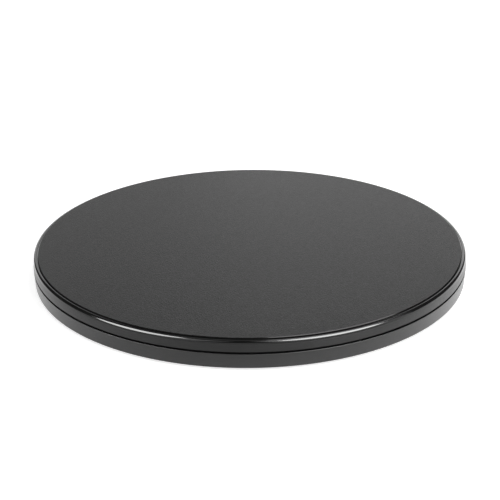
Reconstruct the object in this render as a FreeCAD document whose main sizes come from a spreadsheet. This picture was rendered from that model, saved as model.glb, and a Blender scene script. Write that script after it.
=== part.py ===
import FreeCAD, Part
import Sketcher
import os

# Manual turntable: a round platter on a ball track, turned by hand on a low base.
# Millimetres, +Z up, the spin axis is Z and the table under the feet is at Z = 0.

doc = FreeCAD.newDocument("manual_turntable")

DRIVING = [
    ("platter_radius", 150.0, "widest radius of the platter, at the foot of its skirt"),
    ("platter_height", 7.25, "platter moulding, from the foot of its skirt to its rim"),
    ("skirt_taper", 0.65, "how much narrower the skirt is at the rim than at its foot"),
    ("skirt_wall", 2.2, "thickness of the platter's skirt"),
    ("plate_thickness", 3.25, "thickness of the platter's disc at its rim"),
    ("rim_fillet", 1.7, "rounding of the platter's rim"),
    ("rim_width", 2.05, "polished rim left outside the mat's recess"),
    ("recess_depth", 0.75, "depth that the mat is let into the platter"),
    ("moat_width", 0.55, "open gap between the mat and the wall of its recess"),
    ("mat_proud", 0.7, "how far the mat stands above the rim"),
    ("mat_bevel_width", 0.4, "width of the bevel on the mat's upper edge"),
    ("mat_bevel_drop", 0.25, "drop of that bevel"),
    ("parting_gap", 1.5, "running gap between base and platter skirt"),
    ("base_height", 9.7, "base moulding, from its underside to its rim"),
    ("base_taper", 0.5, "how much narrower the base is at its underside than at its rim"),
    ("base_wall", 2.2, "thickness of the base's wall"),
    ("base_floor", 2.4, "thickness of the base's floor"),
    ("base_fillet", 0.8, "rounding of the base's lower edge"),
    ("edge_break", 0.1, "rounding of the two edges at the running gap"),
    ("rim_bevel", 1.6, "bevel on the inner edge of the base's rim"),
    ("belly_depth", 0.6, "depth of the shallow ring recess under the base"),
    ("belly_margin", 8.0, "flat ring left beside the belly recess"),
    ("lip_inset", 5.0, "from the base's rim to the dust lip inside it"),
    ("lip_wall", 2.0, "thickness of the dust lip"),
    ("lip_gap", 1.0, "free space around the dust lip"),
    ("track_inset", 40.0, "from the platter's widest radius to the balls' circle"),
    ("ball_diameter", 6.35, "bearing ball"),
    ("ball_count", 24, "bearing balls on the track"),
    ("groove_radius", 6.0, "cross section radius of the track groove"),
    ("groove_depth", 1.0, "depth of the track groove"),
    ("race_play", 0.2, "free space between a ball and each track"),
    ("race_width", 18.0, "radial width of a track ring"),
    ("race_thickness", 2.0, "thickness of a track ring"),
    ("seat_height", 2.0, "height of the lower track's seat above the base's floor"),
    ("seat_lip", 0.8, "depth that the tracks are let into their seats"),
    ("seat_wall", 2.0, "wall beside a track's seat"),
    ("cage_thickness", 2.4, "ball cage"),
    ("cage_width", 10.0, "radial width of the ball cage"),
    ("pocket_clearance", 0.2, "free space between a ball and its pocket"),
    ("fit_clearance", 0.05, "free space between pieces that are fitted together"),
    ("screw_diameter", 2.5, "track screw"),
    ("screw_head", 4.6, "countersunk head of a track screw"),
    ("screw_length", 5.0, "track screw with its head"),
    ("screw_count", 6, "screws in each track"),
    ("pilot_room", 0.2, "free depth past the tip of a track screw"),
    ("screw_offset", 5.7, "from the balls' circle to the screws' circle"),
    ("rib_thickness", 1.8, "stiffening rib"),
    ("rib_depth", 3.0, "height of a stiffening rib"),
    ("rib_count", 12, "stiffening ribs around each moulding"),
    ("foot_radius", 10.0, "rubber foot"),
    ("foot_thickness", 3.0, "rubber foot, with the part let into the base"),
    ("foot_stand", 1.55, "height that the feet hold the base off the table"),
    ("foot_count", 6, "rubber feet"),
    ("foot_edge", 0.4, "rounding of a foot's lower edge"),
    ("foot_ring_radius", 6.0, "middle of the ring groove under a foot"),
    ("foot_ring_width", 1.6, "width of the ring groove under a foot"),
    ("foot_ring_depth", 0.5, "depth of the ring groove under a foot"),
    ("cover_radius", 14.0, "hub cover under the base"),
    ("cover_thickness", 1.4, "hub cover"),
    ("cover_spigot", 1.0, "height of the hub cover's snap ring"),
    ("cover_spigot_wall", 1.2, "thickness of the hub cover's snap ring"),
    ("cover_notch", 1.6, "radius of the pry notch in the hub cover"),
    ("head_room", 0.4, "free space between hub cover and screw head"),
    ("head_radius", 6.5, "head of the centre screw"),
    ("head_height", 2.2, "head of the centre screw"),
    ("hex_key", 4.0, "width across flats of the screw's socket"),
    ("hex_depth", 1.4, "depth of the screw's socket"),
    ("shoulder_radius", 4.0, "ground shoulder of the centre screw"),
    ("thread_radius", 2.5, "thread of the centre screw"),
    ("insert_radius", 4.0, "brass insert in the platter's hub"),
    ("insert_length", 5.4, "brass insert in the platter's hub"),
    ("insert_band", 1.0, "width of the insert's retaining groove"),
    ("insert_band_depth", 0.4, "depth of the insert's retaining groove"),
    ("washer_radius", 8.0, "steel washer under the screw's head"),
    ("washer_thickness", 0.8, "steel washer under the screw's head"),
    ("washer_clearance", 0.1, "free space between a washer and the shoulder in it"),
    ("washer_room", 1.0, "free space around the washer"),
    ("bush_radius", 5.5, "bush in the base's hub"),
    ("bush_length", 3.2, "bush below its flange"),
    ("flange_radius", 9.0, "flange of the bush"),
    ("flange_thickness", 1.2, "flange of the bush"),
    ("thrust_thickness", 0.6, "plastic thrust washer"),
    ("hub_play", 0.2, "how far the platter can lift before the washer stops it"),
    ("running_clearance", 0.05, "free space between bush and shoulder"),
    ("boss_radius", 12.0, "hub boss under the platter"),
    ("hub_radius", 15.0, "hub boss in the base"),
]

# Radii and heights that follow from the driving sizes.
DERIVED = [
    ("shoulder_rim", "dims.platter_radius - dims.skirt_taper"),
    ("skirt_inner_foot", "dims.platter_radius - dims.skirt_wall"),
    ("skirt_inner_head", "shoulder_rim - dims.skirt_wall"),
    ("recess_radius", "shoulder_rim - dims.rim_width"),
    ("mat_radius", "recess_radius - dims.moat_width"),
    ("mat_face_radius", "mat_radius - dims.mat_bevel_width"),
    ("base_rim_radius", "dims.platter_radius"),
    ("base_sole_radius", "base_rim_radius - dims.base_taper"),
    ("base_inner_rim", "base_rim_radius - dims.base_wall"),
    ("base_inner_floor", "base_sole_radius - dims.base_wall"),
    ("lip_outer", "base_rim_radius - dims.lip_inset"),
    ("lip_inner", "lip_outer - dims.lip_wall"),
    ("sole", "dims.foot_stand"),
    ("floor_top", "sole + dims.base_floor"),
    ("base_rim", "sole + dims.base_height"),
    ("bevel_radius", "base_inner_rim + dims.rim_bevel"),
    ("bevel_foot", "base_rim - dims.rim_bevel"),
    ("skirt_foot", "base_rim + dims.parting_gap"),
    ("land", "skirt_foot + dims.platter_height"),
    ("plate_under", "land - dims.plate_thickness"),
    ("lip_top", "plate_under - dims.lip_gap"),
    ("recess_floor", "land - dims.recess_depth"),
    ("mat_top", "land + dims.mat_proud"),
    ("mat_shoulder", "mat_top - dims.mat_bevel_drop"),
    ("belly_roof", "sole + dims.belly_depth"),
    ("pitch_radius", "dims.platter_radius - dims.track_inset"),
    ("ball_radius", "dims.ball_diameter / 2"),
    ("lower_seat", "floor_top + dims.seat_height"),
    ("lower_race_top", "lower_seat + dims.race_thickness"),
    ("ball_middle", "lower_race_top - dims.groove_depth + dims.race_play + ball_radius"),
    ("upper_race_foot", "ball_middle + ball_radius + dims.race_play - dims.groove_depth"),
    ("upper_seat", "upper_race_foot + dims.race_thickness"),
    ("lower_groove", "ball_middle - ball_radius - dims.race_play + dims.groove_radius"),
    ("upper_groove", "ball_middle + ball_radius + dims.race_play - dims.groove_radius"),
    ("lower_seat_rim", "lower_seat + dims.seat_lip"),
    ("upper_seat_rim", "upper_seat - dims.seat_lip"),
    ("race_inner", "pitch_radius - dims.race_width / 2"),
    ("race_outer", "pitch_radius + dims.race_width / 2"),
    ("seat_inner", "race_inner - dims.fit_clearance"),
    ("seat_outer", "race_outer + dims.fit_clearance"),
    ("pad_inner", "seat_inner - dims.seat_wall"),
    ("pad_outer", "seat_outer + dims.seat_wall"),
    ("belly_inner", "dims.cover_radius + dims.belly_margin"),
    ("belly_outer", "pad_inner - dims.belly_margin"),
    ("cage_foot", "ball_middle - dims.cage_thickness / 2"),
    ("cage_top", "cage_foot + dims.cage_thickness"),
    ("cage_inner", "pitch_radius - dims.cage_width / 2"),
    ("cage_outer", "pitch_radius + dims.cage_width / 2"),
    ("pocket_radius", "ball_radius + dims.pocket_clearance"),
    ("screw_circle", "pitch_radius - dims.screw_offset"),
    ("screw_radius", "dims.screw_diameter / 2"),
    ("screw_hole", "screw_radius + dims.fit_clearance"),
    ("screw_head_radius", "dims.screw_head / 2"),
    ("sink_radius", "screw_head_radius + dims.fit_clearance"),
    ("sink_depth", "screw_head_radius - screw_radius"),
    ("pilot_depth", "dims.screw_length - dims.race_thickness + dims.pilot_room"),
    ("cover_top", "sole + dims.cover_thickness"),
    ("cover_hole", "dims.cover_radius + dims.fit_clearance"),
    ("cavity_radius", "dims.washer_radius + dims.washer_room"),
    ("spigot_outer", "cavity_radius - dims.fit_clearance"),
    ("spigot_inner", "spigot_outer - dims.cover_spigot_wall"),
    ("spigot_top", "cover_top + dims.cover_spigot"),
    ("head_foot", "cover_top + dims.head_room"),
    ("head_top", "head_foot + dims.head_height"),
    ("ledge", "head_top + dims.washer_thickness + dims.hub_play"),
    ("washer_top", "head_top + dims.washer_thickness"),
    ("hub_top", "ledge + dims.bush_length"),
    ("flange_top", "hub_top + dims.flange_thickness"),
    ("thrust_top", "flange_top + dims.thrust_thickness"),
    ("boss_foot", "thrust_top + dims.hub_play"),
    ("insert_top", "boss_foot + dims.insert_length"),
    ("insert_hole", "dims.insert_radius + dims.fit_clearance"),
    ("insert_bore", "dims.thread_radius + dims.fit_clearance"),
    ("insert_band_foot", "boss_foot + (dims.insert_length - dims.insert_band) / 2"),
    ("insert_band_top", "insert_band_foot + dims.insert_band"),
    ("insert_waist", "dims.insert_radius - dims.insert_band_depth"),
    ("bush_hole", "dims.bush_radius + dims.fit_clearance"),
    ("bush_bore", "dims.shoulder_radius + dims.running_clearance"),
    ("washer_bore", "dims.shoulder_radius + dims.washer_clearance"),
    ("base_rib_top", "floor_top + dims.rib_depth"),
    ("platter_rib_foot", "plate_under - dims.rib_depth"),
    ("rib_bite", "dims.seat_wall / 2"),
    ("plate_bite", "plate_under + rib_bite"),
    ("floor_bite", "floor_top - rib_bite"),
    ("boss_rib_start", "dims.boss_radius - rib_bite"),
    ("hub_rib_start", "dims.hub_radius - rib_bite"),
    ("inner_rib_end", "pad_inner + rib_bite"),
    ("outer_rib_start", "pad_outer - rib_bite"),
    ("base_rib_end", "lip_outer - rib_bite"),
    ("platter_rib_end", "lip_inner - dims.lip_gap"),
    ("foot_pocket", "dims.foot_radius + dims.fit_clearance"),
    ("foot_pocket_depth", "dims.foot_thickness - dims.foot_stand"),
    ("foot_ring_inner", "dims.foot_ring_radius - dims.foot_ring_width / 2"),
    ("foot_ring_outer", "dims.foot_ring_radius + dims.foot_ring_width / 2"),
]


def fill_sheets():
    dims = doc.addObject("Spreadsheet::Sheet", "dims")
    for row, (alias, value, meaning) in enumerate(DRIVING, start=1):
        dims.set(f"A{row}", meaning)
        dims.set(f"B{row}", str(value))
        dims.setAlias(f"B{row}", alias)
    doc.recompute()
    places = doc.addObject("Spreadsheet::Sheet", "places")
    for row, (alias, formula) in enumerate(DERIVED, start=1):
        places.set(f"B{row}", "=" + formula)
        places.setAlias(f"B{row}", alias)
    doc.recompute()
    return dims, places


# The screws stand half a step away from the feet, so no screw meets a foot's pocket.
SCREW_TURN = "180deg / dims.screw_count"
# Edges closer than this are taken for the same edge.
SAME_PLACE = 1e-4

dims, places = fill_sheets()
DERIVED_NAMES = {alias for alias, formula in DERIVED}
pieces = []


def address(alias):
    return ("places." if alias in DERIVED_NAMES else "dims.") + alias


def amount(alias):
    sheet = places if alias in DERIVED_NAMES else dims
    return float(sheet.get(alias))


def new_body(label):
    body = doc.addObject("PartDesign::Body", label)
    body.Label = label
    pieces.append(body)
    return body


def datum(body, role):
    return next(feature for feature in body.Origin.OriginFeatures if feature.Role == role)


def new_sketch(body, name, role):
    sketch = body.newObject("Sketcher::SketchObject", f"{body.Name}_{name}")
    sketch.AttachmentSupport = [(datum(body, role), "")]
    sketch.MapMode = "FlatFace"
    return sketch


def pin_point(sketch, line, across, up):
    """Holds a line's first point at named distances from the origin; None lies on the axis."""
    for kind, alias, axis in (("DistanceX", across, -2), ("DistanceY", up, -1)):
        if alias is None:
            sketch.addConstraint(Sketcher.Constraint("PointOnObject", line, 1, axis))
            continue
        index = sketch.addConstraint(Sketcher.Constraint(kind, -1, 1, line, 1, amount(alias)))
        sketch.setExpression(f"Constraints[{index}]", address(alias))


def outline(sketch, corners):
    """A closed polygon whose corners are pairs of named sizes."""
    spots = []
    for across, up in corners:
        x = 0.0 if across is None else amount(across)
        y = 0.0 if up is None else amount(up)
        spots.append(FreeCAD.Vector(x, y, 0))
    count = len(spots)
    for index in range(count):
        sketch.addGeometry(Part.LineSegment(spots[index], spots[(index + 1) % count]), False)
    for index in range(count):
        following = (index + 1) % count
        sketch.addConstraint(Sketcher.Constraint("Coincident", index, 2, following, 1))
    for index, (across, up) in enumerate(corners):
        pin_point(sketch, index, across, up)


def turned(body, name, corners):
    """A solid of revolution about Z from corners given as radius and height."""
    sketch = new_sketch(body, name + "_outline", "XZ_Plane")
    outline(sketch, corners)
    turn = body.newObject("PartDesign::Revolution", f"{body.Name}_{name}")
    turn.Profile = sketch
    turn.ReferenceAxis = (sketch, ["V_Axis"])
    turn.Angle = 360
    body.Tip = turn
    doc.recompute()
    return turn


def track_groove(body, name, height):
    """The round groove that the balls run in, cut all the way around."""
    sketch = new_sketch(body, name + "_outline", "XZ_Plane")
    middle = FreeCAD.Vector(amount("pitch_radius"), amount(height), 0)
    sketch.addGeometry(Part.Circle(middle, FreeCAD.Vector(0, 0, 1), amount("groove_radius")), False)
    for kind, alias in (("DistanceX", "pitch_radius"), ("DistanceY", height)):
        index = sketch.addConstraint(Sketcher.Constraint(kind, -1, 1, 0, 3, amount(alias)))
        sketch.setExpression(f"Constraints[{index}]", address(alias))
    index = sketch.addConstraint(Sketcher.Constraint("Radius", 0, amount("groove_radius")))
    sketch.setExpression(f"Constraints[{index}]", address("groove_radius"))
    groove = body.newObject("PartDesign::Groove", f"{body.Name}_{name}")
    groove.Profile = sketch
    groove.ReferenceAxis = (sketch, ["V_Axis"])
    groove.Angle = 360
    body.Tip = groove
    doc.recompute()


def rib(body, name, start, end, foot, top):
    """One upright rib from radius start to radius end, centred on the XZ plane."""
    sketch = new_sketch(body, name + "_outline", "XZ_Plane")
    outline(sketch, [(start, foot), (end, foot), (end, top), (start, top)])
    pad = body.newObject("PartDesign::Pad", f"{body.Name}_{name}")
    pad.Profile = sketch
    pad.SideType = "Symmetric"
    pad.setExpression("Length", address("rib_thickness"))
    body.Tip = pad
    doc.recompute()
    return pad


def drilled(body, name, radius, depth, out, foot, angle):
    """A round hole with its lower end at height foot, at radius out and a given angle."""
    hole = body.newObject("PartDesign::SubtractiveCylinder", f"{body.Name}_{name}")
    hole.setExpression("Radius", address(radius))
    hole.setExpression("Height", address(depth))
    stand_at(hole, out, angle, foot)
    body.Tip = hole
    doc.recompute()
    return hole


def sunk(body, name, wide_end_up, foot):
    """A countersink for one track screw."""
    sink = body.newObject("PartDesign::SubtractiveCone", f"{body.Name}_{name}")
    sink.setExpression("Radius1", address("screw_hole" if wide_end_up else "sink_radius"))
    sink.setExpression("Radius2", address("sink_radius" if wide_end_up else "screw_hole"))
    sink.setExpression("Height", address("sink_depth"))
    stand_at(sink, "screw_circle", SCREW_TURN, foot)
    body.Tip = sink
    doc.recompute()
    return sink


def stand_at(thing, out, angle, foot):
    """Places a thing on a circle of named radius, at an angle expression and a height expression."""
    thing.setExpression("Placement.Base.x", f"{address(out)} * cos({angle})")
    thing.setExpression("Placement.Base.y", f"{address(out)} * sin({angle})")
    thing.setExpression("Placement.Base.z", foot)


def around(body, name, originals, count):
    """Repeats features evenly about Z."""
    pattern = body.newObject("PartDesign::PolarPattern", f"{body.Name}_{name}")
    pattern.Originals = originals
    pattern.Axis = (datum(body, "Z_Axis"), [""])
    pattern.Angle = 360
    pattern.setExpression("Occurrences", address(count))
    body.Tip = pattern
    doc.recompute()


def ring_edges(shape, radius, height):
    """Names of the circles about Z that have one radius and lie at one height."""
    names = []
    middle = FreeCAD.Vector(0, 0, height)
    for index, edge in enumerate(shape.Edges, start=1):
        if not isinstance(edge.Curve, Part.Circle):
            continue
        same_radius = abs(edge.Curve.Radius - radius) < SAME_PLACE
        if same_radius and edge.Curve.Center.distanceToPoint(middle) < SAME_PLACE:
            names.append(f"Edge{index}")
    return names


def rounded(body, name, rings, size):
    """Rounds the circular edges given as pairs of named radius and named height."""
    base = body.Tip
    names = []
    for radius, height in rings:
        up = 0.0 if height is None else amount(height)
        names += ring_edges(base.Shape, amount(radius), up)
    fillet = body.newObject("PartDesign::Fillet", f"{body.Name}_{name}")
    fillet.Base = (base, names)
    fillet.setExpression("Radius", address(size))
    body.Tip = fillet
    doc.recompute()


def make_platter():
    body = new_body("platter")
    turned(body, "shell", [
        (None, "recess_floor"),
        ("recess_radius", "recess_floor"),
        ("recess_radius", "land"),
        ("shoulder_rim", "land"),
        ("platter_radius", "skirt_foot"),
        ("skirt_inner_foot", "skirt_foot"),
        ("skirt_inner_head", "plate_under"),
        ("pad_outer", "plate_under"),
        ("pad_outer", "upper_seat_rim"),
        ("seat_outer", "upper_seat_rim"),
        ("seat_outer", "upper_seat"),
        ("seat_inner", "upper_seat"),
        ("seat_inner", "upper_seat_rim"),
        ("pad_inner", "upper_seat_rim"),
        ("pad_inner", "plate_under"),
        ("boss_radius", "plate_under"),
        ("boss_radius", "boss_foot"),
        ("insert_hole", "boss_foot"),
        ("insert_hole", "insert_top"),
        (None, "insert_top"),
    ])
    rounded(body, "rim", [("shoulder_rim", "land")], "rim_fillet")
    rounded(body, "skirt_edge", [("platter_radius", "skirt_foot")], "edge_break")
    inner = rib(body, "inner_rib", "boss_rib_start", "inner_rib_end", "platter_rib_foot", "plate_bite")
    outer = rib(body, "outer_rib", "outer_rib_start", "platter_rib_end", "platter_rib_foot", "plate_bite")
    around(body, "ribs", [inner, outer], "rib_count")
    pilot = drilled(body, "pilot", "screw_hole", "pilot_depth", "screw_circle", "places.upper_seat",
                    SCREW_TURN)
    around(body, "pilots", [pilot], "screw_count")


def make_mat():
    body = new_body("top_mat")
    turned(body, "disc", [
        (None, "recess_floor"),
        ("mat_radius", "recess_floor"),
        ("mat_radius", "mat_shoulder"),
        ("mat_face_radius", "mat_top"),
        (None, "mat_top"),
    ])


def make_base():
    body = new_body("base")
    turned(body, "tray", [
        ("base_sole_radius", "sole"),
        ("base_rim_radius", "base_rim"),
        ("bevel_radius", "base_rim"),
        ("base_inner_rim", "bevel_foot"),
        ("base_inner_floor", "floor_top"),
        ("lip_outer", "floor_top"),
        ("lip_outer", "lip_top"),
        ("lip_inner", "lip_top"),
        ("lip_inner", "floor_top"),
        ("pad_outer", "floor_top"),
        ("pad_outer", "lower_seat_rim"),
        ("seat_outer", "lower_seat_rim"),
        ("seat_outer", "lower_seat"),
        ("seat_inner", "lower_seat"),
        ("seat_inner", "lower_seat_rim"),
        ("pad_inner", "lower_seat_rim"),
        ("pad_inner", "floor_top"),
        ("hub_radius", "floor_top"),
        ("hub_radius", "hub_top"),
        ("bush_hole", "hub_top"),
        ("bush_hole", "ledge"),
        ("cavity_radius", "ledge"),
        ("cavity_radius", "cover_top"),
        ("cover_hole", "cover_top"),
        ("cover_hole", "sole"),
        ("belly_inner", "sole"),
        ("belly_inner", "belly_roof"),
        ("belly_outer", "belly_roof"),
        ("belly_outer", "sole"),
    ])
    rounded(body, "sole_edge", [("base_sole_radius", "sole")], "base_fillet")
    rounded(body, "rim_edge", [("base_rim_radius", "base_rim")], "edge_break")
    inner = rib(body, "inner_rib", "hub_rib_start", "inner_rib_end", "floor_bite", "base_rib_top")
    outer = rib(body, "outer_rib", "outer_rib_start", "base_rib_end", "floor_bite", "base_rib_top")
    around(body, "ribs", [inner, outer], "rib_count")
    pilot = drilled(body, "pilot", "screw_hole", "pilot_depth", "screw_circle",
                    "places.lower_seat - places.pilot_depth", SCREW_TURN)
    around(body, "pilots", [pilot], "screw_count")
    pocket = drilled(body, "foot_pocket", "foot_pocket", "foot_pocket_depth", "pitch_radius",
                     "places.sole", "0deg")
    around(body, "foot_pockets", [pocket], "foot_count")


def make_races():
    for label, foot, top, groove, up in (
            ("lower_race", "lower_seat", "lower_race_top", "lower_groove", True),
            ("upper_race", "upper_race_foot", "upper_seat", "upper_groove", False)):
        body = new_body(label)
        turned(body, "ring", [
            ("race_inner", foot),
            ("race_outer", foot),
            ("race_outer", top),
            ("race_inner", top),
        ])
        track_groove(body, "track", groove)
        hole = drilled(body, "hole", "screw_hole", "race_thickness", "screw_circle", "places." + foot,
                       SCREW_TURN)
        sink_foot = f"places.{top} - places.sink_depth" if up else f"places.{foot}"
        sink = sunk(body, "sink", up, sink_foot)
        around(body, "holes", [hole, sink], "screw_count")


def make_race_screws():
    for label, face, direction in (
            ("lower_race_screws", "lower_race_top", -1),
            ("upper_race_screws", "upper_race_foot", 1)):
        body = new_body(label)
        down = direction < 0
        head = body.newObject("PartDesign::AdditiveCone", label + "_head")
        head.setExpression("Radius1", address("screw_radius" if down else "screw_head_radius"))
        head.setExpression("Radius2", address("screw_head_radius" if down else "screw_radius"))
        head.setExpression("Height", address("sink_depth"))
        head_foot = f"places.{face} - places.sink_depth" if down else f"places.{face}"
        stand_at(head, "screw_circle", SCREW_TURN, head_foot)
        shank = body.newObject("PartDesign::AdditiveCylinder", label + "_shank")
        shank.setExpression("Radius", address("screw_radius"))
        shank.setExpression("Height", "dims.screw_length - places.sink_depth")
        shank_foot = f"places.{face} - dims.screw_length" if down else f"places.{face} + places.sink_depth"
        stand_at(shank, "screw_circle", SCREW_TURN, shank_foot)
        body.Tip = shank
        doc.recompute()
        around(body, "set", [head, shank], "screw_count")


def make_cage():
    body = new_body("ball_cage")
    turned(body, "ring", [
        ("cage_inner", "cage_foot"),
        ("cage_outer", "cage_foot"),
        ("cage_outer", "cage_top"),
        ("cage_inner", "cage_top"),
    ])
    pocket = drilled(body, "pocket", "pocket_radius", "cage_thickness", "pitch_radius",
                     "places.cage_foot", "0deg")
    around(body, "pockets", [pocket], "ball_count")


def make_balls():
    for index in range(int(amount("ball_count"))):
        label = f"bearing_ball_{index + 1:02d}"
        ball = doc.addObject("Part::Sphere", label)
        ball.Label = label
        ball.setExpression("Radius", address("ball_radius"))
        stand_at(ball, "pitch_radius", f"360deg * {index} / dims.ball_count", "places.ball_middle")
        pieces.append(ball)
    doc.recompute()


def make_feet():
    for index in range(int(amount("foot_count"))):
        body = new_body(f"foot_{index + 1}")
        turned(body, "pad", [
            (None, None),
            ("foot_ring_inner", None),
            ("foot_ring_inner", "foot_ring_depth"),
            ("foot_ring_outer", "foot_ring_depth"),
            ("foot_ring_outer", None),
            ("foot_radius", None),
            ("foot_radius", "foot_thickness"),
            (None, "foot_thickness"),
        ])
        rounded(body, "edge", [("foot_radius", None)], "foot_edge")
        stand_at(body, "pitch_radius", f"360deg * {index} / dims.foot_count", "0")
    doc.recompute()


def make_bush():
    body = new_body("spindle_bush")
    turned(body, "sleeve", [
        ("bush_bore", "ledge"),
        ("bush_radius", "ledge"),
        ("bush_radius", "hub_top"),
        ("flange_radius", "hub_top"),
        ("flange_radius", "flange_top"),
        ("bush_bore", "flange_top"),
    ])


def make_washers():
    thrust = new_body("thrust_washer")
    turned(thrust, "ring", [
        ("washer_bore", "flange_top"),
        ("flange_radius", "flange_top"),
        ("flange_radius", "thrust_top"),
        ("washer_bore", "thrust_top"),
    ])
    retaining = new_body("retaining_washer")
    turned(retaining, "ring", [
        ("washer_bore", "head_top"),
        ("washer_radius", "head_top"),
        ("washer_radius", "washer_top"),
        ("washer_bore", "washer_top"),
    ])


def make_centre_screw():
    body = new_body("centre_screw")
    turned(body, "shank", [
        (None, "head_foot"),
        ("head_radius", "head_foot"),
        ("head_radius", "head_top"),
        ("shoulder_radius", "head_top"),
        ("shoulder_radius", "boss_foot"),
        ("thread_radius", "boss_foot"),
        ("thread_radius", "insert_top"),
        (None, "insert_top"),
    ])
    socket = body.newObject("PartDesign::SubtractivePrism", "centre_screw_socket")
    socket.Polygon = 6
    socket.setExpression("Circumradius", "dims.hex_key / sqrt(3)")
    socket.setExpression("Height", address("hex_depth"))
    socket.setExpression("Placement.Base.z", address("head_foot"))
    body.Tip = socket
    doc.recompute()


def make_insert():
    body = new_body("threaded_insert")
    turned(body, "sleeve", [
        ("insert_bore", "boss_foot"),
        ("insert_radius", "boss_foot"),
        ("insert_radius", "insert_band_foot"),
        ("insert_waist", "insert_band_foot"),
        ("insert_waist", "insert_band_top"),
        ("insert_radius", "insert_band_top"),
        ("insert_radius", "insert_top"),
        ("insert_bore", "insert_top"),
    ])


def make_hub_cover():
    body = new_body("hub_cover")
    turned(body, "disc", [
        (None, "sole"),
        ("cover_radius", "sole"),
        ("cover_radius", "cover_top"),
        ("spigot_outer", "cover_top"),
        ("spigot_outer", "spigot_top"),
        ("spigot_inner", "spigot_top"),
        ("spigot_inner", "cover_top"),
        (None, "cover_top"),
    ])
    drilled(body, "notch", "cover_notch", "cover_thickness", "cover_radius", "places.sole", "0deg")


def check_and_export():
    for thing in doc.Objects:
        if "Invalid" in thing.State or "Error" in thing.State:
            raise RuntimeError(f"{thing.Label} did not recompute: {thing.State}")
    os.makedirs("parts", exist_ok=True)
    for piece in pieces:
        if piece.Shape.isNull() or not piece.Shape.isValid():
            raise RuntimeError(f"{piece.Label} has no valid shape")
        piece.Shape.exportStep(f"parts/{piece.Label}.step")
        print(piece.Label, len(piece.Shape.Solids), round(piece.Shape.Volume, 2))


make_platter()
make_mat()
make_base()
make_races()
make_race_screws()
make_cage()
make_balls()
make_feet()
make_bush()
make_washers()
make_centre_screw()
make_insert()
make_hub_cover()
doc.recompute()
check_and_export()
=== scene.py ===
import math

import bmesh
import bpy
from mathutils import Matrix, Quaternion, Vector


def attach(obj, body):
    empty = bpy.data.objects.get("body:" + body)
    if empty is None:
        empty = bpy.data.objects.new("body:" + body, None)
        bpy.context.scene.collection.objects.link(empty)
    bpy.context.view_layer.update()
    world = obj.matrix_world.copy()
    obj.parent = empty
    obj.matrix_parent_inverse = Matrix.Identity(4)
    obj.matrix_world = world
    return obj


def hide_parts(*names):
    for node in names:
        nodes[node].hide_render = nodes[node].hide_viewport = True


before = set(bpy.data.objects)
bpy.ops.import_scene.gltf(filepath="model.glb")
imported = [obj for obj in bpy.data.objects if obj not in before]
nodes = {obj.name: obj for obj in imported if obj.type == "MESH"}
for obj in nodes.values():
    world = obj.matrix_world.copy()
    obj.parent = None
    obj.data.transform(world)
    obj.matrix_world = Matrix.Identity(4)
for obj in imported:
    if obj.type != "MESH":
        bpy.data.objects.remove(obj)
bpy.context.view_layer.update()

# Radii and heights of the platter and the mat, in millimetres, as in the frame
MILLIMETRE = 0.001
PLATTER_RADIUS = 150.0
SHOULDER_RIM = 149.35
SKIRT_WALL = 2.2
SKIRT_FOOT = 12.75
LAND = 20.0
RIM_ROUNDING = 1.7
EDGE_BREAK = 0.1
PLATE_UNDER = 16.75
RECESS_RADIUS = 147.3
RECESS_FLOOR = 19.25
MAT_RADIUS = 146.75
MAT_TOP = 20.7
MAT_FACE_RADIUS = 146.35
MAT_SHOULDER = 20.45
PAD_INNER, PAD_OUTER = 98.95, 121.05
SEAT_INNER, SEAT_OUTER = 100.95, 119.05
SEAT, SEAT_RIM = 14.7, 13.9
BOSS_RADIUS, BOSS_FOOT = 12.0, 11.75
INSERT_HOLE, INSERT_TOP = 4.05, 17.15
RIB_COUNT, RIB_THICKNESS, RIB_DEPTH, RIB_BITE = 12, 1.8, 3.0, 1.0
RIB_END = 142.0

# Fineness of the turned meshes
AROUND = 512
ARC_STEPS = 14
SHARP_ANGLE = math.radians(25)

# Least upward slope of the mat's face and of its bevel
FACE_UP, BEVEL_UP = 0.95, 0.3


def round_corners(corners):
    """Points of an outline whose corners are (radius, height, rounding)."""
    points = []
    count = len(corners)
    for index, (r, z, size) in enumerate(corners):
        here = Vector((r, z))
        if size == 0:
            points.append(here)
            continue
        back = (Vector(corners[index - 1][:2]) - here).normalized()
        ahead = (Vector(corners[(index + 1) % count][:2]) - here).normalized()
        half = back.angle(ahead) / 2
        middle = here + (back + ahead).normalized() * (size / math.sin(half))
        start = here + back * (size / math.tan(half)) - middle
        end = here + ahead * (size / math.tan(half)) - middle
        turn = start.angle_signed(end)
        for step in range(ARC_STEPS + 1):
            angle = -turn * step / ARC_STEPS
            c, s = math.cos(angle), math.sin(angle)
            points.append(middle + Vector((start.x * c - start.y * s, start.x * s + start.y * c)))
    return points


def lathe(corners):
    """A closed solid of revolution; an outline that meets the axis is closed there by a fan."""
    mesh = bmesh.new()
    rings = []
    for r, z in round_corners(corners):
        if r == 0:
            rings.append([mesh.verts.new((0, 0, z * MILLIMETRE))] * AROUND)
            continue
        ring = []
        for step in range(AROUND):
            angle = 2 * math.pi * step / AROUND
            spot = Vector((r * math.cos(angle), r * math.sin(angle), z))
            ring.append(mesh.verts.new(spot * MILLIMETRE))
        rings.append(ring)
    for index, ring in enumerate(rings):
        other = rings[(index + 1) % len(rings)]
        for step in range(AROUND):
            following = (step + 1) % AROUND
            loop = [ring[step], ring[following], other[following], other[step]]
            face = list(dict.fromkeys(loop))
            if len(face) > 2:
                mesh.faces.new(face)
    bmesh.ops.recalc_face_normals(mesh, faces=mesh.faces)
    return mesh


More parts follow.
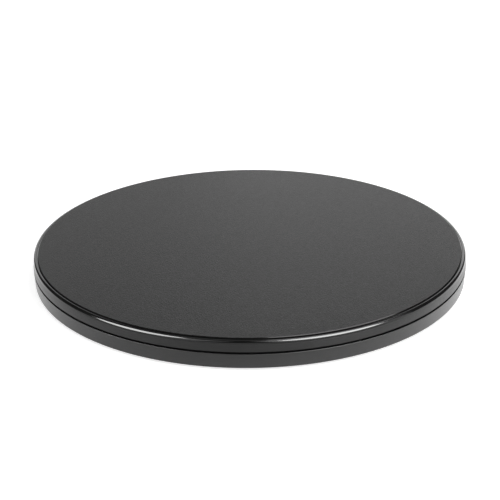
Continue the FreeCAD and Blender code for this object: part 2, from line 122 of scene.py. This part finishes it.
def add_rib(mesh, start, end, foot, top, angle):
    """A radial rib in the same mesh."""
    turn = Quaternion((0, 0, 1), angle)
    corners = []
    for r in (start, end):
        for side in (-RIB_THICKNESS / 2, RIB_THICKNESS / 2):
            for z in (foot, top):
                corners.append(mesh.verts.new(turn @ Vector((r, side, z)) * MILLIMETRE))
    for face in ((0, 1, 3, 2), (4, 6, 7, 5), (0, 4, 5, 1), (2, 3, 7, 6), (0, 2, 6, 4), (1, 5, 7, 3)):
        mesh.faces.new([corners[i] for i in face])


def settle(name, mesh, material, body, stood_for):
    """Makes the object, shades it smooth up to its sharp edges and lets it ride on its body."""
    data = bpy.data.meshes.new(name)
    mesh.to_mesh(data)
    mesh.free()
    for polygon in data.polygons:
        polygon.use_smooth = True
    data.set_sharp_from_angle(angle=SHARP_ANGLE)
    data.materials.append(material)
    piece = bpy.data.objects.new(name, data)
    bpy.context.scene.collection.objects.link(piece)
    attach(piece, body)
    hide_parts(stood_for)
    return piece


def make_platter(material):
    """The platter with its drafted skirt, track seat, hub boss and ribs."""
    skirt_inner_foot = PLATTER_RADIUS - SKIRT_WALL
    skirt_inner_head = SHOULDER_RIM - SKIRT_WALL
    mesh = lathe([
        (0, RECESS_FLOOR, 0),
        (RECESS_RADIUS, RECESS_FLOOR, 0),
        (RECESS_RADIUS, LAND, EDGE_BREAK),
        (SHOULDER_RIM, LAND, RIM_ROUNDING),
        (PLATTER_RADIUS, SKIRT_FOOT, EDGE_BREAK),
        (skirt_inner_foot, SKIRT_FOOT, EDGE_BREAK),
        (skirt_inner_head, PLATE_UNDER, EDGE_BREAK),
        (PAD_OUTER, PLATE_UNDER, 0),
        (PAD_OUTER, SEAT_RIM, 0),
        (SEAT_OUTER, SEAT_RIM, 0),
        (SEAT_OUTER, SEAT, 0),
        (SEAT_INNER, SEAT, 0),
        (SEAT_INNER, SEAT_RIM, 0),
        (PAD_INNER, SEAT_RIM, 0),
        (PAD_INNER, PLATE_UNDER, 0),
        (BOSS_RADIUS, PLATE_UNDER, 0),
        (BOSS_RADIUS, BOSS_FOOT, 0),
        (INSERT_HOLE, BOSS_FOOT, 0),
        (INSERT_HOLE, INSERT_TOP, 0),
        (0, INSERT_TOP, 0),
    ])
    rib_foot = PLATE_UNDER - RIB_DEPTH
    rib_top = PLATE_UNDER + RIB_BITE
    for index in range(RIB_COUNT):
        angle = 2 * math.pi * index / RIB_COUNT
        add_rib(mesh, BOSS_RADIUS - RIB_BITE, PAD_INNER + RIB_BITE, rib_foot, rib_top, angle)
        add_rib(mesh, PAD_OUTER - RIB_BITE, RIB_END, rib_foot, rib_top, angle)
    piece = settle("platter_shell", mesh, material, "turning_top", "platter")


def make_mat(face_material, bevel_material, side_material):
    """The mat, with a material for its face, one for its bevel and one for its side."""
    mesh = lathe([
        (0, MAT_TOP, 0),
        (MAT_FACE_RADIUS, MAT_TOP, 0),
        (MAT_RADIUS, MAT_SHOULDER, 0),
        (MAT_RADIUS, RECESS_FLOOR, 0),
        (0, RECESS_FLOOR, 0),
    ])
    for face in mesh.faces:
        up = face.normal.z
        face.material_index = 0 if up > FACE_UP else 1 if up > BEVEL_UP else 2
    piece = settle("mat_disc", mesh, face_material, "turning_top", "top_mat")
    piece.data.materials.append(bevel_material)
    piece.data.materials.append(side_material)
    return piece


# Materials

# Range of a noise texture that is spread over a material's own range
NOISE_LOW, NOISE_HIGH = 0.3, 0.7

# Noise scales, in repeats per metre
FLOOR_MOTTLE, MOULDING_MOTTLE, SMALL_MOTTLE, METAL_MOTTLE = 3.0, 60.0, 120.0, 400.0
MAT_GLOSS_GRAIN, FINE_GLOSS_GRAIN, GLOSS_GRAIN = 500.0, 600.0, 900.0
SPECKLE = 900.0
MAT_BUMPS, SMALL_BUMPS, MOULDING_BUMPS = 1200.0, 1500.0, 1800.0
PLAIN_DETAIL, SPECKLE_DETAIL, METAL_DETAIL = 2.0, 3.0, 4.0

# Bump heights in metres, and strengths
MAT_BUMP_HEIGHT, PLASTIC_BUMP_HEIGHT = 0.00017, 0.00005
FULL_BUMP, SATIN_BUMP, GLOSS_BUMP = 1.0, 0.1, 0.05

# The mat's face, its bevel and its side
MAT_DARK, MAT_LIGHT = 0.0115, 0.0295
MAT_ROUGHNESS = (0.34, 0.38)
MAT_SPECULAR = 0.12
BEVEL_IOR = 1.62
BEVEL_DARK, BEVEL_LIGHT = 0.002, 0.005
BEVEL_ROUGHNESS = (0.08, 0.14)
SIDE_DARK, SIDE_LIGHT = 0.003, 0.006
SIDE_ROUGHNESS = (0.45, 0.55)
SIDE_SPECULAR = 0.15

# The platter, whose rounding is smoother than its wall
PLATTER_IOR = 1.53
PLATTER_DARK, PLATTER_LIGHT = 0.002, 0.005
WALL_ROUGHNESS, ROUNDING_ROUGHNESS = 0.35, 0.11
ROUNDING_LOW = (LAND - 2 * RIM_ROUNDING) * MILLIMETRE
ROUNDING_HIGH = LAND * MILLIMETRE
WALL_SHARE, ROUNDING_SHARE = 0.30, 0.40

# The base
BASE_IOR = 1.6
BASE_DARK, BASE_LIGHT = 0.010, 0.014
BASE_ROUGHNESS = (0.28, 0.34)

# How far the roughness of the hidden pieces varies to each side
PLASTIC_VARIATION, METAL_VARIATION = 0.05, 0.06


def new_material(name):
    """A material with its node tree, its shader and the object's own coordinates."""
    material = bpy.data.materials.new(name)
    material.use_nodes = True
    tree = material.node_tree
    shader = tree.nodes["Principled BSDF"]
    place = tree.nodes.new("ShaderNodeTexCoord")
    return material, tree, shader, place.outputs["Object"]


def noise(tree, place, scale, detail=PLAIN_DETAIL):
    """A noise texture of the given scale."""
    node = tree.nodes.new("ShaderNodeTexNoise")
    node.inputs["Scale"].default_value = scale
    node.inputs["Detail"].default_value = detail
    tree.links.new(place, node.inputs["Vector"])
    return node.outputs["Fac"]


def spread(tree, value, low, high, start=NOISE_LOW, end=NOISE_HIGH):
    """Maps a value from the range start to end onto the range low to high."""
    node = tree.nodes.new("ShaderNodeMapRange")
    node.inputs["From Min"].default_value = start
    node.inputs["From Max"].default_value = end
    node.inputs["To Min"].default_value = low
    node.inputs["To Max"].default_value = high
    tree.links.new(value, node.inputs["Value"])
    return node.outputs["Result"]


def grey(value):
    return (value, value, value)


def colour(tree, shader, texture, dark, light):
    """Colours the shader from dark to light by a texture."""
    node = tree.nodes.new("ShaderNodeValToRGB")
    first, last = node.color_ramp.elements
    first.position, first.color = NOISE_LOW, (*dark, 1.0)
    last.position, last.color = NOISE_HIGH, (*light, 1.0)
    tree.links.new(texture, node.inputs["Fac"])
    tree.links.new(node.outputs["Color"], shader.inputs["Base Color"])


def roughen(tree, shader, texture, low, high):
    """Varies the shader's roughness from low to high by a texture."""
    tree.links.new(spread(tree, texture, low, high), shader.inputs["Roughness"])


def bump(tree, shader, texture, height, strength):
    """Raises the shader's surface by a texture."""
    node = tree.nodes.new("ShaderNodeBump")
    node.inputs["Distance"].default_value = height
    node.inputs["Strength"].default_value = strength
    tree.links.new(texture, node.inputs["Height"])
    tree.links.new(node.outputs["Normal"], shader.inputs["Normal"])


def mat_material():
    """The matte grained face of the mat."""
    material, tree, shader, place = new_material("mat_grain")
    speckle = noise(tree, place, SPECKLE, SPECKLE_DETAIL)
    colour(tree, shader, speckle, grey(MAT_DARK), grey(MAT_LIGHT))
    roughen(tree, shader, noise(tree, place, MAT_GLOSS_GRAIN), *MAT_ROUGHNESS)
    shader.inputs["Specular IOR Level"].default_value = MAT_SPECULAR
    bump(tree, shader, noise(tree, place, MAT_BUMPS), MAT_BUMP_HEIGHT, FULL_BUMP)
    return material


def mat_bevel_material():
    """The smooth bevel around the mat."""
    material, tree, shader, place = new_material("mat_bevel")
    shader.inputs["IOR"].default_value = BEVEL_IOR
    colour(tree, shader, noise(tree, place, SPECKLE), grey(BEVEL_DARK), grey(BEVEL_LIGHT))
    roughen(tree, shader, noise(tree, place, FINE_GLOSS_GRAIN), *BEVEL_ROUGHNESS)
    return material


def mat_side_material():
    """The dull cut side of the mat."""
    material, tree, shader, place = new_material("mat_side")
    colour(tree, shader, noise(tree, place, SPECKLE), grey(SIDE_DARK), grey(SIDE_LIGHT))
    roughen(tree, shader, noise(tree, place, FINE_GLOSS_GRAIN), *SIDE_ROUGHNESS)
    shader.inputs["Specular IOR Level"].default_value = SIDE_SPECULAR
    return material


def platter_material():
    """Black plastic, satin on the wall and polished on the rounding and the land."""
    material, tree, shader, place = new_material("platter_plastic")
    shader.inputs["IOR"].default_value = PLATTER_IOR
    colour(tree, shader, noise(tree, place, MOULDING_MOTTLE), grey(PLATTER_DARK), grey(PLATTER_LIGHT))
    parts = tree.nodes.new("ShaderNodeSeparateXYZ")
    tree.links.new(place, parts.inputs["Vector"])
    ramp = tree.nodes.new("ShaderNodeValToRGB")
    ramp.color_ramp.interpolation = "EASE"
    stops = ramp.color_ramp.elements
    stops[0].position, stops[0].color = WALL_SHARE, (*grey(WALL_ROUGHNESS), 1)
    stops[1].position, stops[1].color = ROUNDING_SHARE, (*grey(ROUNDING_ROUGHNESS), 1)
    tree.links.new(spread(tree, parts.outputs["Z"], 0.0, 1.0, ROUNDING_LOW, ROUNDING_HIGH),
                   ramp.inputs["Fac"])
    tree.links.new(ramp.outputs["Color"], shader.inputs["Roughness"])
    bump(tree, shader, noise(tree, place, MOULDING_BUMPS), PLASTIC_BUMP_HEIGHT, GLOSS_BUMP)
    return material


def base_material():
    """Black satin plastic."""
    material, tree, shader, place = new_material("base_plastic")
    shader.inputs["IOR"].default_value = BASE_IOR
    colour(tree, shader, noise(tree, place, MOULDING_MOTTLE), grey(BASE_DARK), grey(BASE_LIGHT))
    roughen(tree, shader, noise(tree, place, GLOSS_GRAIN), *BASE_ROUGHNESS)
    bump(tree, shader, noise(tree, place, MOULDING_BUMPS), PLASTIC_BUMP_HEIGHT, SATIN_BUMP)
    return material


def plain_plastic(name, dark, light, rough):
    """Plastic or rubber of a small moulding."""
    material, tree, shader, place = new_material(name)
    colour(tree, shader, noise(tree, place, SMALL_MOTTLE), dark, light)
    roughen(tree, shader, noise(tree, place, FINE_GLOSS_GRAIN),
            rough - PLASTIC_VARIATION, rough + PLASTIC_VARIATION)
    bump(tree, shader, noise(tree, place, SMALL_BUMPS), PLASTIC_BUMP_HEIGHT, SATIN_BUMP)
    return material


def metal(name, dark, light, rough):
    """A metal with a slightly uneven finish."""
    material, tree, shader, place = new_material(name)
    shader.inputs["Metallic"].default_value = 1.0
    colour(tree, shader, noise(tree, place, METAL_MOTTLE, METAL_DETAIL), dark, light)
    roughen(tree, shader, noise(tree, place, GLOSS_GRAIN), rough - METAL_VARIATION, rough + METAL_VARIATION)
    return material


def dress(node, material):
    """Gives a node of the frame its material."""
    mesh = nodes[node].data
    mesh.materials.clear()
    mesh.materials.append(material)


steel = metal("zinc_steel", grey(0.48), grey(0.58), rough=0.32)
polished = metal("ball_steel", grey(0.68), grey(0.74), rough=0.12)
brass = metal("brass", (0.62, 0.43, 0.15), (0.72, 0.52, 0.2), rough=0.3)
acetal = plain_plastic("acetal", grey(0.66), grey(0.72), rough=0.42)
rubber = plain_plastic("rubber", grey(0.018), grey(0.028), rough=0.75)
base_plastic = base_material()

mat = make_mat(mat_material(), mat_bevel_material(), mat_side_material())
make_platter(platter_material())
for name in ("base", "hub_cover"):
    dress(name, base_plastic)
for name in nodes:
    if name.startswith("foot_"):
        dress(name, rubber)
    if name.startswith("bearing_ball_"):
        dress(name, polished)
for name in ("upper_race", "lower_race", "upper_race_screws", "lower_race_screws",
             "centre_screw", "retaining_washer"):
    dress(name, steel)
dress("threaded_insert", brass)
for name in ("ball_cage", "spindle_bush", "thrust_washer"):
    dress(name, acetal)


# Floor, world, lights and camera, in metres

# The floor lies a hair below the soles of the feet.
FLOOR_SIDE, FLOOR_LEVEL = 8.0, -0.00005
FLOOR_DARK, FLOOR_LIGHT = 0.61, 0.63
FLOOR_ROUGHNESS, FLOOR_SPECULAR = 0.9, 0.1

# White that the camera sees on the floor, by the distance from the object
GLOW_NEAR, GLOW_FAR = 0.7, 0.98
GLOW_START, GLOW_END = 0.22, 0.60

# Painted pool of light on the floor: an emission that only reflections see, in an oval around the object,
# which paints brighter reflections into the platter's wall and the base
PAINTED_POOL_MIDDLE = (0.034, 0.04, 0)
PAINTED_POOL_STRETCH = (1.0, 1.42, 1.0)
PAINTED_POOL_NEAR, PAINTED_POOL_FAR = 1.0, 0.0
PAINTED_POOL_START, PAINTED_POOL_END = 0.19, 0.29

ROOM_STRENGTH = 0.08
WHITE = (1, 1, 1, 1)

# Name, azimuth and elevation in degrees, distance, width, height and radiance of each light
FRONT_SOFTBOXES = (
    ("left_softbox", -50, 32, 1.2, 1.2, 1.2, 1.4),
    ("right_softbox", 39.5, 32, 1.2, 1.15, 1.2, 2.5),
)
GLINTS = (
    ("left_glint", -60.5, 33, 1.1, 0.75, 1.15, 12.0),
    ("right_glint", 42.8, 34, 1.1, 0.88, 1.2, 13.5),
)
PANELS = (
    ("right_card", 69, 18, 1.3, 0.6, 0.75, 1.2),
    ("right_top_panel", 95, 68, 1.4, 0.85, 0.9, 2.9),
    ("back_right_panel", 163.5, 12.5, 1.6, 1.0, 0.95, 1.58),
    ("back_left_panel", 198, 12.5, 1.6, 1.0, 0.95, 1.11),
    ("top_panel", 180, 62, 1.5, 0.8, 1.1, 0.32),
)

CAMERA_DISTANCE = 0.9
CAMERA_ELEVATION = math.radians(24.225)
CAMERA_ROLL = math.radians(-0.543)
CAMERA_TARGET = Vector((0, 0, 0.0012))
SENSOR_WIDTH, FOCAL_LENGTH = 36.0, 91.844
SHIFT_X, SHIFT_Y = 0.00039, 0.03328


def make_floor():
    """A pale floor that reads as white away from the object and keeps its shadow, with a painted pool of
    light around the object that only reflections see.
    """
    bpy.ops.mesh.primitive_plane_add(size=FLOOR_SIDE, location=(0, 0, FLOOR_LEVEL))
    floor = bpy.context.object
    floor.name = "floor"
    material, tree, shader, place = new_material("floor")
    colour(tree, shader, noise(tree, place, FLOOR_MOTTLE), grey(FLOOR_DARK), grey(FLOOR_LIGHT))
    shader.inputs["Roughness"].default_value = FLOOR_ROUGHNESS
    shader.inputs["Specular IOR Level"].default_value = FLOOR_SPECULAR
    path = tree.nodes.new("ShaderNodeLightPath")
    away = tree.nodes.new("ShaderNodeVectorMath")
    away.operation = "LENGTH"
    tree.links.new(place, away.inputs[0])
    camera_glow = spread(tree, away.outputs["Value"], GLOW_NEAR, GLOW_FAR, GLOW_START, GLOW_END)
    seen = tree.nodes.new("ShaderNodeMath")
    seen.operation = "MULTIPLY"
    tree.links.new(camera_glow, seen.inputs[0])
    tree.links.new(path.outputs["Is Camera Ray"], seen.inputs[1])
    # The painted pool of light: the floor glows for glossy rays only, brightest in an oval around the
    # object
    oval = tree.nodes.new("ShaderNodeVectorMath")
    oval.operation = "MULTIPLY"
    oval.inputs[1].default_value = PAINTED_POOL_STRETCH
    tree.links.new(place, oval.inputs[0])
    aside = tree.nodes.new("ShaderNodeVectorMath")
    aside.operation = "DISTANCE"
    aside.inputs[1].default_value = PAINTED_POOL_MIDDLE
    tree.links.new(oval.outputs[0], aside.inputs[0])
    painted_pool = spread(tree, aside.outputs["Value"], PAINTED_POOL_NEAR, PAINTED_POOL_FAR, PAINTED_POOL_START, PAINTED_POOL_END)
    both = tree.nodes.new("ShaderNodeMath")
    both.operation = "MULTIPLY_ADD"
    tree.links.new(path.outputs["Is Glossy Ray"], both.inputs[0])
    tree.links.new(painted_pool, both.inputs[1])
    tree.links.new(seen.outputs[0], both.inputs[2])
    glow = tree.nodes.new("ShaderNodeEmission")
    tree.links.new(both.outputs[0], glow.inputs["Strength"])
    sum_up = tree.nodes.new("ShaderNodeAddShader")
    tree.links.new(shader.outputs[0], sum_up.inputs[0])
    tree.links.new(glow.outputs[0], sum_up.inputs[1])
    tree.links.new(sum_up.outputs[0], tree.nodes["Material Output"].inputs["Surface"])
    floor.data.materials.append(material)


def make_world():
    """A dim room that the camera sees as white."""
    world = bpy.data.worlds.new("studio")
    bpy.context.scene.world = world
    world.use_nodes = True
    tree = world.node_tree
    tree.nodes.clear()
    room = tree.nodes.new("ShaderNodeBackground")
    room.inputs["Strength"].default_value = ROOM_STRENGTH
    backdrop = tree.nodes.new("ShaderNodeBackground")
    for node in (room, backdrop):
        node.inputs["Color"].default_value = WHITE
    path = tree.nodes.new("ShaderNodeLightPath")
    mix = tree.nodes.new("ShaderNodeMixShader")
    out = tree.nodes.new("ShaderNodeOutputWorld")
    tree.links.new(path.outputs["Is Camera Ray"], mix.inputs[0])
    tree.links.new(room.outputs[0], mix.inputs[1])
    tree.links.new(backdrop.outputs[0], mix.inputs[2])
    tree.links.new(mix.outputs[0], out.inputs["Surface"])


def softbox(name, azimuth, elevation, distance, width, height, radiance, shape="RECTANGLE"):
    """A flat light that faces the object; azimuth 0 is in front, positive to the right."""
    data = bpy.data.lights.new(name, "AREA")
    data.shape = shape
    data.size = width
    data.size_y = height
    area = width * height if shape == "RECTANGLE" else width * height * math.pi / 4
    data.energy = radiance * math.pi * area
    light = bpy.data.objects.new(name, data)
    a, e = math.radians(azimuth), math.radians(elevation)
    away = Vector((math.sin(a) * math.cos(e), -math.cos(a) * math.cos(e), math.sin(e)))
    light.location = away * distance
    light.rotation_mode = "QUATERNION"
    light.rotation_quaternion = away.to_track_quat("Z", "Y")
    light.visible_camera = False
    bpy.context.scene.collection.objects.link(light)
    return light


def glint(shaded, *placing):
    """A softbox that shows only as a reflection, flagged off from the shaded piece."""
    light = softbox(*placing, shape="ELLIPSE")
    light.visible_diffuse = False
    flag = bpy.data.collections.new(f"{light.name}_flag")
    flag.objects.link(shaded)
    light.light_linking.receiver_collection = flag
    flag.collection_objects[0].light_linking.link_state = "EXCLUDE"


def make_camera():
    """The camera at the photograph's angle and framing."""
    away = Vector((0, -math.cos(CAMERA_ELEVATION), math.sin(CAMERA_ELEVATION)))
    data = bpy.data.cameras.new("camera")
    data.sensor_width = SENSOR_WIDTH
    data.lens = FOCAL_LENGTH
    data.shift_x = SHIFT_X
    data.shift_y = SHIFT_Y
    camera = bpy.data.objects.new("camera", data)
    camera.location = CAMERA_TARGET + away * CAMERA_DISTANCE
    camera.rotation_mode = "QUATERNION"
    camera.rotation_quaternion = (-away).to_track_quat("-Z", "Y") @ Quaternion((0, 0, 1), CAMERA_ROLL)
    bpy.context.scene.collection.objects.link(camera)
    bpy.context.scene.camera = camera


make_floor()
make_world()
for placing in FRONT_SOFTBOXES:
    softbox(*placing)
for placing in GLINTS:
    glint(mat, *placing)
for placing in PANELS:
    softbox(*placing)
make_camera()
bpy.context.scene.view_settings.view_transform = "Standard"
